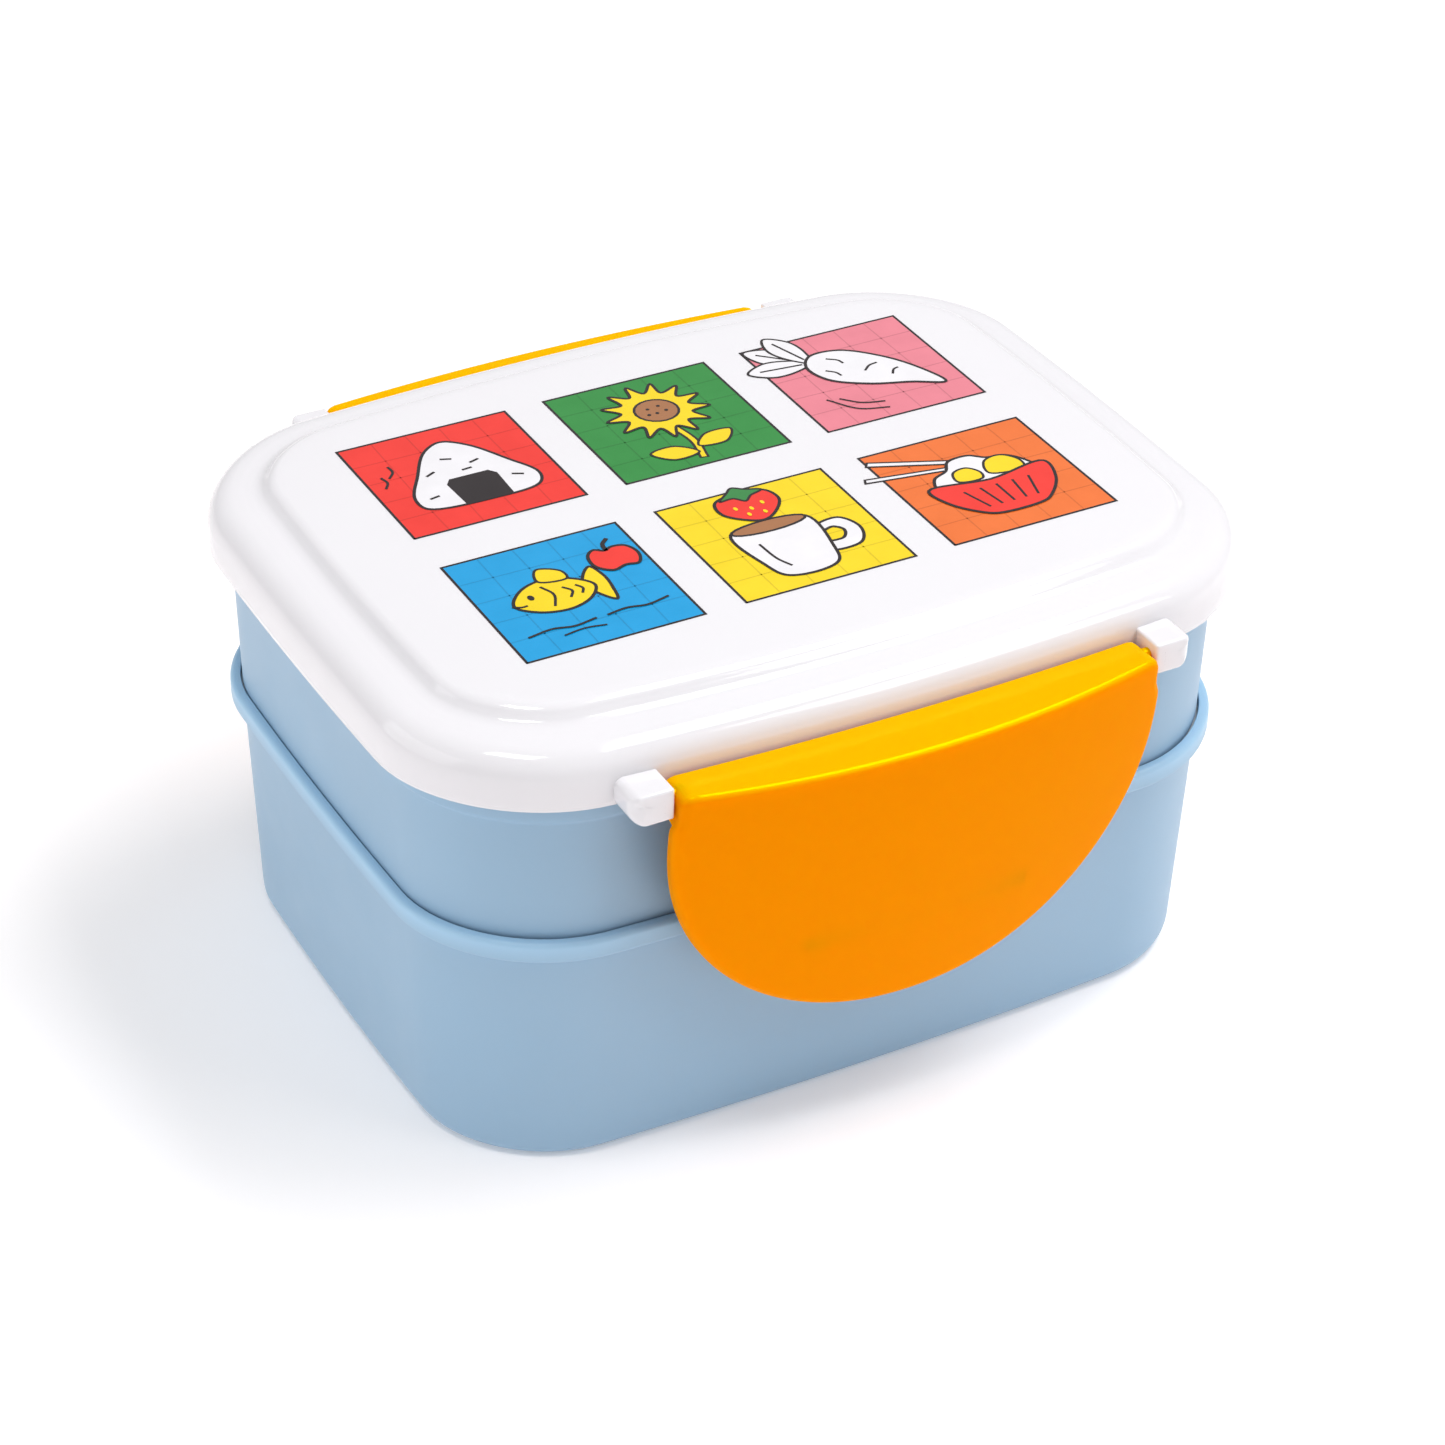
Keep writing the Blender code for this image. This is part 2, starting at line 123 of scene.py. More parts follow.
# Soft boxes: name, azimuth, elevation, distance in metres, size in metres, watts
LIGHTS = (
    ("main_box", 80, 64, 1.2, (0.70, 0.45), 8.6),
    ("top_box", -62, 72, 1.2, (0.35, 0.25), 3.0),
    ("front_box", 38, 40, 1.1, (0.35, 0.35), 1.6),
    ("left_box", -100, 18, 1.0, (1.0, 0.6), 2.2),
)


# ---------------------------------------------------------------- geometry helpers

def rounded(corners, closed=False, step=14.0):
    """Polyline through (x, y, radius) corners, each rounded to its radius."""
    points = []
    count = len(corners)
    for index, (x, y, radius) in enumerate(corners):
        here = Vector((x, y))
        if radius <= 0 or (not closed and index in (0, count - 1)):
            points.append(here)
            continue
        to_before = Vector(corners[index - 1][:2]) - here
        to_after = Vector(corners[(index + 1) % count][:2]) - here
        half = to_before.angle(to_after) / 2
        reach = min(radius / math.tan(half), 0.49 * to_before.length, 0.49 * to_after.length)
        to_before.normalize()
        to_after.normalize()
        radius = reach * math.tan(half)
        centre = here + (to_before + to_after).normalized() * radius / math.sin(half)
        first = here + to_before * reach - centre
        last = here + to_after * reach - centre
        turn = math.pi - 2 * half
        side = 1.0 if first.cross(last) > 0 else -1.0
        steps = max(2, math.ceil(math.degrees(turn) / step))
        for number in range(steps + 1):
            angle = side * turn * number / steps
            cosine, sine = math.cos(angle), math.sin(angle)
            points.append(centre + Vector((first.x * cosine - first.y * sine,
                                           first.x * sine + first.y * cosine)))
    return points


def flowing(points, closed=False, steps=5):
    """Smooth curve through points (centripetal Catmull-Rom)."""
    path = [Vector(point) for point in points]
    count = len(path)
    curve = []
    for i in range(count if closed else count - 1):
        if closed:
            a, b, c, d = (path[(i + k) % count] for k in (-1, 0, 1, 2))
        else:
            b, c = path[i], path[i + 1]
            a = path[i - 1] if i else b * 2 - c
            d = path[i + 2] if i + 2 < count else c * 2 - b
        t1 = max((b - a).length, 1e-9) ** 0.5
        t2 = t1 + max((c - b).length, 1e-9) ** 0.5
        t3 = t2 + max((d - c).length, 1e-9) ** 0.5
        for step in range(steps):
            t = t1 + (t2 - t1) * step / steps
            p = a.lerp(b, t / t1)
            q = b.lerp(c, (t - t1) / (t2 - t1))
            r = c.lerp(d, (t - t2) / (t3 - t2))
            u = p.lerp(q, t / t2)
            v = q.lerp(r, (t - t1) / (t3 - t1))
            curve.append(u.lerp(v, (t - t1) / (t2 - t1)))
    if not closed:
        curve.append(path[-1])
    return curve


def outline(size, inset):
    """Rounded rectangle with bowed sides, in millimetres, counter-clockwise."""
    length, width, corner, bow_long, bow_short = size
    length -= 2 * inset
    width -= 2 * inset
    corner -= inset
    points = []
    for quarter in range(4):
        side_x = 1 if quarter in (0, 3) else -1
        side_y = 1 if quarter < 2 else -1
        centre = Vector((side_x * (length / 2 - corner), side_y * (width / 2 - corner)))
        for step in range(CORNER_STEPS + 1):
            angle = math.radians(90 * (quarter + step / CORNER_STEPS))
            points.append(centre + corner * Vector((math.cos(angle), math.sin(angle))))
    ring = []
    for index, point in enumerate(points):
        ring.append(point)
        if (index + 1) % (CORNER_STEPS + 1) == 0:
            side = (index + 1) // (CORNER_STEPS + 1)
            steps = LONG_STEPS if side % 2 else SHORT_STEPS
            after = points[(index + 1) % len(points)]
            ring += [point.lerp(after, step / steps) for step in range(1, steps)]
    bowed = []
    for point in ring:
        x = point.x * (1 - 2 * bow_short / length * (2 * point.y / width) ** 2)
        y = point.y * (1 - 2 * bow_long / width * (2 * point.x / length) ** 2)
        bowed.append((x, y))
    return bowed


def skin(bm, rings, closed=False):
    """Skin equal-length rings of points in millimetres, capped unless the last meets the first."""
    loops = [[bm.verts.new(Vector(point) * MM) for point in ring] for ring in rings]
    pairs = list(zip(loops, loops[1:]))
    if closed:
        pairs.append((loops[-1], loops[0]))
    else:
        bm.faces.new(loops[0][::-1])
        bm.faces.new(loops[-1])
    for lower, upper in pairs:
        for i in range(len(lower)):
            j = (i + 1) % len(lower)
            bm.faces.new((lower[i], lower[j], upper[j], upper[i]))


def finished(name, bm, look, angle=38.0):
    """Turn a bmesh into an object with smooth shading and one material."""
    bmesh.ops.recalc_face_normals(bm, faces=bm.faces)
    mesh = bpy.data.meshes.new(name)
    bm.to_mesh(mesh)
    bm.free()
    mesh.shade_smooth()
    mesh.set_sharp_from_angle(angle=math.radians(angle))
    mesh.materials.append(look)
    piece = bpy.data.objects.new(name, mesh)
    bpy.context.scene.collection.objects.link(piece)
    return piece


def shell(name, size, profile, look, closed=False):
    """Wall swept round an outline along a profile of (inset, height)."""
    bm = bmesh.new()
    rings = []
    for inset, height in profile:
        rings.append([(x, y, height) for x, y in outline(size, inset)])
    skin(bm, rings, closed)
    return finished(name, bm, look)


# ---------------------------------------------------------------- materials

# Noise scales, per metre
CLOUD_SCALE = 28.0
GLOSS_SCALE = 90.0
PEEL_SCALE = 420.0
GRAIN_SCALE = 5200.0
INK_SCALE = 160.0


def new_material(name):
    look = bpy.data.materials.new(name)
    look.use_nodes = True
    return look, look.node_tree, look.node_tree.nodes["Principled BSDF"]


def noise(tree, scale, detail):
    place = tree.nodes.new("ShaderNodeTexCoord")
    texture = tree.nodes.new("ShaderNodeTexNoise")
    texture.inputs["Scale"].default_value = scale
    texture.inputs["Detail"].default_value = detail
    tree.links.new(place.outputs["Object"], texture.inputs["Vector"])
    return texture.outputs["Fac"]


def spread(tree, value, low, high):
    """Map a 0-1 value onto a range."""
    node = tree.nodes.new("ShaderNodeMapRange")
    node.inputs["From Min"].default_value = 0.3
    node.inputs["From Max"].default_value = 0.7
    node.inputs["To Min"].default_value = low
    node.inputs["To Max"].default_value = high
    tree.links.new(value, node.inputs["Value"])
    return node.outputs["Result"]


def tint(tree, value, colour, other):
    """Mix two colours by a value."""
    node = tree.nodes.new("ShaderNodeMix")
    node.data_type = "RGBA"
    node.inputs[6].default_value = (*colour, 1.0)
    node.inputs[7].default_value = (*other, 1.0)
    tree.links.new(value, node.inputs[0])
    return node.outputs[2]


def uneven_gloss(tree, shader, roughness):
    """Roughness that drifts a little over the surface."""
    gloss = spread(tree, noise(tree, GLOSS_SCALE, 4.0), roughness * 0.92, roughness * 1.08)
    tree.links.new(gloss, shader.inputs["Roughness"])


def bump(tree, scale, microns):
    """Bump node fed by noise of one scale."""
    node = tree.nodes.new("ShaderNodeBump")
    node.inputs["Strength"].default_value = 0.5
    node.inputs["Distance"].default_value = microns * 1e-6
    tree.links.new(noise(tree, scale, 1.0), node.inputs["Height"])
    return node


def plastic(name, colour, roughness, peel, subsurface, grain=0.0, clouding=0.03,
            radius=(1.0, 1.0, 1.0), depth=0.002, coat=0.0, specular=0.5):
    """Moulded plastic: uneven gloss, orange peel, and faint clouding and fine grain if asked."""
    look, tree, shader = new_material(name)
    shader.inputs["Base Color"].default_value = (*colour, 1.0)
    if clouding:
        darker = tuple(channel * (1 - clouding) for channel in colour)
        cloud = spread(tree, noise(tree, CLOUD_SCALE, 3.0), 0.0, 1.0)
        tree.links.new(tint(tree, cloud, colour, darker), shader.inputs["Base Color"])
    uneven_gloss(tree, shader, roughness)
    top = bump(tree, PEEL_SCALE, peel)
    if grain:
        fine = bump(tree, GRAIN_SCALE, grain)
        tree.links.new(top.outputs["Normal"], fine.inputs["Normal"])
        top = fine
    tree.links.new(top.outputs["Normal"], shader.inputs["Normal"])
    shader.inputs["Subsurface Weight"].default_value = subsurface
    shader.inputs["Subsurface Radius"].default_value = radius
    shader.inputs["Subsurface Scale"].default_value = depth
    shader.inputs["Coat Weight"].default_value = coat
    shader.inputs["Coat Roughness"].default_value = 0.05
    shader.inputs["Specular IOR Level"].default_value = specular
    return look


BLUE = (0.31, 0.480, 0.645)
# Painted light: paler blue standing in for the light falling on the top of the lower tier's rim
LIT_RIM_BLUE = (0.37, 0.590, 0.790)
WHITE = (0.815, 0.800, 0.830)
ORANGE = (1.0, 0.270, 0.0)
# Painted light: paler, yellower orange for the clasp's lit top and the painted highlight along its
# top edge
LIT_TOP_ORANGE = (1.0, 0.450, 0.0)

# Painted light: the rim's paler blue, from under its lip up, is painted light on the rim's top;
# the clasp's paler orange on up-facing faces is painted light on its top and a painted highlight
# on its top edge
RIM_PAINTED_LIGHT = (0.0455, 0.0490)
UPWARD_PAINTED_LIGHT = (0.30, 0.90)

tier_blue = plastic("tier_blue", BLUE, 0.42, peel=6.0, subsurface=0.12, grain=3.0,
                    radius=(0.6, 0.9, 1.0))
lower_blue_lit_rim = plastic("lower_blue_lit_rim", BLUE, 0.40, peel=6.0, subsurface=0.12, grain=3.0, clouding=0.0,
                   radius=(0.6, 0.9, 1.0))
lid_white = plastic("lid_white", WHITE, 0.09, peel=3.0, subsurface=0.10, clouding=0.015,
                    radius=(1.0, 0.9, 0.95), coat=0.3)
clasp_orange = plastic("clasp_orange", ORANGE, 0.20, peel=5.0, subsurface=0.45, clouding=0.0,
                       radius=(1.0, 0.40, 0.01), depth=0.006, specular=0.0)
clasp_orange.node_tree.nodes["Principled BSDF"].inputs["Metallic"].default_value = 0.12
milky = plastic("milky", (0.80, 0.84, 0.86), 0.36, peel=6.0, subsurface=0.35, grain=2.0,
                radius=(0.9, 1.0, 1.0), depth=0.004)
silicone = plastic("silicone", (0.74, 0.76, 0.76), 0.55, peel=3.0, subsurface=0.4, grain=4.0,
                   depth=0.003)


def graded(look, source, between, colour, other):
    """Shade a material by the height of a coordinate or by how far a normal looks up."""
    tree = look.node_tree
    place = tree.nodes.new("ShaderNodeTexCoord")
    split = tree.nodes.new("ShaderNodeSeparateXYZ")
    tree.links.new(place.outputs[source], split.inputs["Vector"])
    rise = tree.nodes.new("ShaderNodeMapRange")
    rise.inputs["From Min"].default_value = between[0]
    rise.inputs["From Max"].default_value = between[1]
    tree.links.new(split.outputs["Z"], rise.inputs["Value"])
    tree.links.new(tint(tree, rise.outputs["Result"], colour, other),
                   tree.nodes["Principled BSDF"].inputs["Base Color"])


# Painted light: the clasp turns paler orange where its faces look up, standing in for light on its
# top and its top-edge highlight
graded(clasp_orange, "Normal", UPWARD_PAINTED_LIGHT, ORANGE, LIT_TOP_ORANGE)
# Painted light: the lower tier turns paler blue from just under the rim's lip to its top, standing
# in for the lit rim
graded(lower_blue_lit_rim, "Object", RIM_PAINTED_LIGHT, BLUE, LIT_RIM_BLUE)


# ---------------------------------------------------------------- the two tiers

def add(piece, node, body):
    """Stand a finished piece in for its CAD node."""
    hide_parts(node)
    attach(piece, body)


lower_profile = rounded([
    (16.0, 0.0, 0), (10.0, 0.0, 0), (3.9, 0.0, 2.8), (2.25, 45.9, 0.7), (0.0, 46.0, 0.8),
    (0.0, 50.0, 1.3), (1.95, 50.0, 0.2), (1.6, 47.3, 0.2), (4.4, 47.3, 0.4), (5.9, 2.0, 2.8),
    (11.0, 2.0, 0), (16.0, 2.0, 0)])
lower_shell = shell("lower_tier_shell", RIM, lower_profile, lower_blue_lit_rim)
add(lower_shell, "lower_tier", "lower_tier_body")

upper_profile = rounded([
    (16.0, 44.6, 0), (10.0, 44.6, 0), (6.0, 44.6, 1.6), (4.8, 48.9, 0.3), (0.6, 48.9, 0.4),
    (0.1, 73.7, 1.2), (-0.9, 74.9, 0.9), (-0.9, 78.4, 0.4), (0.0, 78.4, 0.1), (0.0, 84.0, 0.7),
    (2.0, 84.0, 0.7), (2.2, 56.0, 6.0), (3.2, 50.6, 2.5), (6.6, 49.4, 1.2), (7.2, 46.6, 1.4),
    (11.0, 46.6, 0), (16.0, 46.6, 0)])
upper_shell = shell("upper_tier_shell", UPPER, upper_profile, tier_blue)
add(upper_shell, "upper_tier", "upper_tier_body")

pan_profile = rounded([
    (16.0, 43.3, 0), (12.0, 43.3, 0), (5.9, 43.3, 1.2), (4.9, 47.6, 0.6), (1.9, 47.6, 0.2),
    (1.9, 48.6, 0.3), (5.8, 48.6, 0.6), (6.8, 44.3, 0.9), (12.0, 44.3, 0), (16.0, 44.3, 0)])
pan = shell("inner_lid_pan", RIM, pan_profile, milky)
add(pan, "inner_lid", "inner_lid_body")


def divider(name, x, corners, look):
    """Cross wall on a flat foot, from (half thickness, height, half length) corners."""
    bm = bmesh.new()
    side = corners + [(-across, height, reach) for across, height, reach in reversed(corners)]
    rings = []
    for share, draw_in, step in ((-1, 0.5, 0.0), (-1, 0.15, 0.15), (-1, 0.0, 0.5),
                                 (1, 0.0, 0.5), (1, 0.15, 0.15), (1, 0.5, 0.0)):
        ring = []
        for across, height, reach in side:
            narrowed = math.copysign(max(abs(across) - draw_in, 0.1), across)
            ring.append((x + narrowed, share * (reach - step), height))
        rings.append(ring)
    skin(bm, rings)
    return finished(name, bm, look, 32.0)


def divider_corners(foot, reach, top, top_reach, middle=()):
    """Foot, optional steps in the wall and a rounded top edge."""
    return [
        (3.3, foot, reach), (3.5, foot + 0.2, reach), (3.5, foot + 0.5, reach),
        (3.2, foot + 0.8, reach), (1.6, foot + 1.2, reach), (1.0, foot + 1.6, reach),
        (0.8, foot + 2.4, reach), *middle, (0.8, top - 0.6, top_reach),
        (0.7, top - 0.25, top_reach), (0.45, top - 0.05, top_reach), (0.2, top, top_reach)]


lower_wall = divider("lower_divider_wall", LOWER_DIVIDER_X,
                     divider_corners(2.3, 54.0, 41.5, 57.5), milky)
add(lower_wall, "lower_tier_divider", "lower_divider_body")
upper_wall = divider("upper_divider_wall", UPPER_DIVIDER_X,
                     divider_corners(46.9, 52.4, 75.0, 58.6,
                                     ((0.8, 50.0, 53.6), (0.8, 53.4, 58.0))), milky)
add(upper_wall, "upper_tier_divider", "upper_divider_body")


# ---------------------------------------------------------------- the lid

plateau = [Vector((18.0, LID_TOP)), Vector((14.6, LID_TOP))]
crown = flowing([
    (13.4, LID_TOP), (12.3, 91.85), (11.4, 91.35), (10.6, 90.5), (9.8, 89.8), (8.8, 89.4),
    (7.4, 89.22), (5.6, 89.1), (3.9, 88.8), (2.5, 88.1), (1.45, 87.1), (0.7, 85.9), (0.25, 84.5),
    (0.05, 82.8), (0.0, 80.6), (0.0, 79.6), (0.1, 79.2)])
skirt = rounded([
    (0.1, 79.1, 0), (0.15, 78.7, 0.35), (1.9, 78.7, 0.3), (2.1, 82.4, 0.6), (3.2, 83.6, 0.4),
    (3.2, 87.2, 0.5), (7.6, 87.2, 0.5), (7.6, 82.2, 0.5), (9.1, 82.2, 0.5), (9.2, 87.1, 0.5),
    (11.8, 87.9, 0.8), (13.6, 90.1, 0.8), (16.0, 90.1, 0), (18.0, 90.1, 0)])
lid_skin = shell("lid_skin", LID, plateau + crown + skirt, lid_white)
add(lid_skin, "lid_shell", "lid_body")

seal_profile = rounded([
    (3.5, 84.3, 0.6), (3.5, 86.9, 0.6), (7.3, 86.9, 0.6), (7.3, 84.3, 0.6), (5.9, 84.3, 0.3),
    (5.4, 84.9, 0.5), (4.9, 84.3, 0.3)], closed=True)
seal = shell("seal_ring", LID, seal_profile, silicone, closed=True)
add(seal, "lid_seal", "lid_body")


def lug(name, side_x, side_y):
    """Soft block on the skirt: wide round-over outside, crisp next to the clasp."""
    corners = [
        (LUG_INNER, LUG_BOTTOM, 0.5), (LUG_OUTER, LUG_BOTTOM, 2.8),
        (LUG_OUTER, LUG_TOP, 1.9), (LUG_INNER, LUG_TOP, 0.5)]
    loop = rounded(corners, closed=True, step=9.0)
    count = len(loop)
    normals = []
    for i, point in enumerate(loop):
        along = loop[(i + 1) % count] - loop[i - 1]
        normals.append(Vector((along.y, -along.x)).normalized())
    radii = []
    for normal in normals:
        outward = max(normal.x, 0.0)
        radii.append(0.55 + 2.0 * outward ** 2)
    rings = [[(p.x, LUG_BACK, p.y) for p in loop]]
    for angle in range(0, 91, 10):
        inwards = 1 - math.cos(math.radians(angle))
        forwards = 1 - math.sin(math.radians(angle))
        ring = []
        for point, normal, radius in zip(loop, normals, radii):
            moved = point - normal * radius * inwards
            ring.append((moved.x, LUG_FRONT - radius * forwards, moved.y))
        rings.append(ring)
    middle = Vector(((LUG_INNER + LUG_OUTER) / 2 - 0.6, (LUG_BOTTOM + LUG_TOP) / 2))
    last = rings[-1]
    for share in (0.85, 0.5):
        rings.append([(middle.x + (x - middle.x) * share, LUG_FRONT,
                       middle.y + (z - middle.y) * share) for x, _, z in last])
    bm = bmesh.new()
    skin(bm, [[(side_x * x, side_y * y, z) for x, y, z in ring] for ring in rings])
    piece = finished(name, bm, lid_white, 50.0)
    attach(piece, "lid_body")


for side_x, end in ((-1, "left"), (1, "right")):
    for side_y, face in ((-1, "front"), (1, "rear")):
        lug(f"lug_{face}_{end}", side_x, side_y)


# ---------------------------------------------------------------- the clasps

def evenly(points, spacing):
    """Resample a closed polyline at an even spacing."""
    path = points + [points[0]]
    lengths = [0.0]
    for a, b in zip(path, path[1:]):
        lengths.append(lengths[-1] + (b - a).length)
    count = round(lengths[-1] / spacing)
    result = []
    at = 0
    for number in range(count):
        target = lengths[-1] * number / count
        while lengths[at + 1] < target:
            at += 1
        share = (target - lengths[at]) / max(lengths[at + 1] - lengths[at], 1e-9)
        result.append(path[at].lerp(path[at + 1], share))
    return result


def flap_loop():
    """Half-round flap seen from the front."""
    tip = []
    depth = WIDEST_Z - FLAP_BOTTOM
    for step in range(1, 90):
        angle = math.radians(step)
        tip.append((FLAP_HALF * math.cos(angle) ** (2 / FULLNESS),
                    WIDEST_Z - depth * math.sin(angle) ** (2 / FULLNESS), 0))
    right = [(NECK_HALF, FLAP_TOP, FLAP_CORNER), (NECK_HALF, SHOULDER_Z + 0.6, 1.0),
             (FLAP_HALF, SHOULDER_Z - 2.0, 3.0), (FLAP_HALF, WIDEST_Z, 0)] + tip
    left = [(-x, z, radius) for x, z, radius in reversed(right)]
    loop = rounded(right + [(0.0, FLAP_BOTTOM, 0)] + left, closed=True, step=8.0)
    return evenly(loop, 1.1)


def face_y(x, z):
    """The face leans in towards the tip and curves back towards the flap's ends."""
    drop = max(FLAP_TOP - z, 0.0) / (FLAP_TOP - FLAP_BOTTOM)
    curve = FACE_CURVE + (TIP_CURVE - FACE_CURVE) * drop
    return -FACE_Y + FACE_LEAN * drop ** LEAN_POWER + curve * (x / NECK_HALF) ** 2


def face_height(x, z):
    """The front of the top edge sags in the middle and rises at its ends."""
    share = max(z - SHOULDER_Z, 0.0) / (FLAP_TOP - SHOULDER_Z)
    return z + share * (END_RISE - MIDDLE_SAG * (1 - (x / NECK_HALF) ** 2))


def back_y(x, z):
    """The neck reaches back to the lid's bowed skirt; the rest is a plate's thickness."""
    plate = face_y(x, z) + EDGE_DEPTH
    neck = -NECK_BACK_Y + LID[3] * (2 * x / LID[0]) ** 2
    share = min(max((z - SHOULDER_Z + 0.5) / 0.5, 0.0), 1.0)
    return plate + (neck - plate) * share * share * (3 - 2 * share)


def flap_rings():
    """Rings from the middle of the face, round the edge, to the middle of the inside."""
    loop = flap_loop()
    count = len(loop)
    inward = []
    for i in range(count):
        along = loop[(i + 1) % count] - loop[i - 1]
        inward.append(Vector((along.y, -along.x)).normalized())

    def face_ring(inset, behind, share=1.0):
        placed = []
        for point, normal in zip(loop, inward):
            x, z = point + normal * inset
            x *= share
            z = FLAP_CENTRE_Z + (z - FLAP_CENTRE_Z) * share
            placed.append((x, face_y(x, z) + behind, face_height(x, z)))
        return placed

    def back_ring(inset, behind):
        moved = [point + normal * inset for point, normal in zip(loop, inward)]
        return [(x, back_y(x, z) + behind, z) for x, z in moved]

    shares = (0.04, 0.2, 0.4, 0.6, 0.8, 0.93)
    rings = [face_ring(FRONT_ROUND, 0.0, share) for share in shares]
    for angle in range(0, 91, 10):
        sine, cosine = math.sin(math.radians(angle)), math.cos(math.radians(angle))
        rings.append(face_ring(FRONT_ROUND * (1 - sine), FRONT_ROUND * (1 - cosine)))
    for angle in range(0, 91, 22):
        sine, cosine = math.sin(math.radians(angle)), math.cos(math.radians(angle))
        rings.append(back_ring(BACK_ROUND * (1 - cosine), BACK_ROUND * (sine - 1)))
    rings += [back_ring(BACK_ROUND, 0.0), back_ring(FLAP_WALL - 0.2, 0.0),
              back_ring(FLAP_WALL, -0.2), face_ring(FLAP_WALL, FLAP_WALL + 0.3)]
    inside = FLAP_WALL + 0.3
    rings += [face_ring(inside, FLAP_WALL, share) for share in (1.0, *reversed(shares))]
    return rings


def rod(bm, start, end, radius, y, z):
    """Pin along X with chamfered ends, in millimetres."""
    rings = []
    length = end - start
    for along, shrink in ((0.0, 0.3), (0.3, 0.0), (length - 0.4, 0.0), (length, 0.35)):
        ring = []
        for number in range(28):
            angle = math.tau * number / 28
            ring.append((start + along, y + (radius - shrink) * math.cos(angle),
                         z + (radius - shrink) * math.sin(angle)))
        rings.append(ring)
    skin(bm, rings)


def clasp(name, side, body):
    """Hollow flap with two stub pins and a snap rib behind it."""
    bm = bmesh.new()
    skin(bm, flap_rings())
    rod(bm, PIN_INNER, PIN_OUTER, PIN_RADIUS, -HINGE_Y, HINGE_Z)
    rod(bm, -PIN_OUTER, -PIN_INNER, PIN_RADIUS, -HINGE_Y, HINGE_Z)
    catch = rounded([(-CATCH_ROOT_Y, 43.0, 0.0), (-64.9, 43.4, 0.5), (-64.0, 44.2, 0.4),
                     (-64.6, 45.1, 0.5), (-CATCH_ROOT_Y, 45.4, 0.0)], closed=True)
    full = CATCH_HALF - CATCH_CHAMFER
    skin(bm, [[(x, p.x - pull, p.y) for p in catch]
              for x, pull in ((-CATCH_HALF, CATCH_CHAMFER), (-full, 0.0), (full, 0.0),
                              (CATCH_HALF, CATCH_CHAMFER))])
    if side > 0:
        for vert in bm.verts:
            vert.co = Vector((-vert.co.x, -vert.co.y, vert.co.z))
    piece = finished(f"{name}_flap", bm, clasp_orange, 45.0)
    add(piece, name, body)


clasp("front_clasp", -1, "front_clasp_body")
clasp("rear_clasp", 1, "rear_clasp_body")


# ---------------------------------------------------------------- the print on the lid

def ink(name, colour):
    """Printed ink under the lid's gloss, with a faint uneven density."""
    look, tree, shader = new_material(name)
    lighter = tuple(min(channel * 1.06 + 0.004, 1.0) for channel in colour)
    density = spread(tree, noise(tree, INK_SCALE, 3.0), 0.0, 1.0)
    tree.links.new(tint(tree, density, colour, lighter), shader.inputs["Base Color"])
    uneven_gloss(tree, shader, INK_ROUGHNESS)
    waves = bump(tree, PEEL_SCALE, INK_PEEL)
    tree.links.new(waves.outputs["Normal"], shader.inputs["Normal"])
    shader.inputs["Coat Weight"].default_value = 0.3
    shader.inputs["Coat Roughness"].default_value = 0.12
    return look


INK_ROUGHNESS = 0.2
INK_PEEL = 5.0
INK_COLOURS = {
    "red": (0.80, 0.030, 0.020),
    "green": (0.020, 0.240, 0.040),
    "pink": (0.74, 0.210, 0.265),
    "blue": (0.0, 0.315, 0.660),
    "yellow": (0.84, 0.620, 0.0),
    "orange": (0.78, 0.160, 0.025),
    "black": (0.014, 0.008, 0.010),
    "white": (0.80, 0.785, 0.815),
    "brown": (0.36, 0.150, 0.060),
    "leaf": (0.03, 0.220, 0.050),
}
INKS = {shade: ink(f"ink_{shade}", colour) for shade, colour in INK_COLOURS.items()}
GRID_SHADE = 0.80
GRID_INKS = {
    shade: ink(f"ink_{shade}_line", tuple(channel * GRID_SHADE for channel in INK_COLOURS[shade]))
    for shade in ("red", "green", "pink", "blue", "yellow", "orange")}
GRID_WIDTH = 0.28
BORDER_WIDTH = 0.50


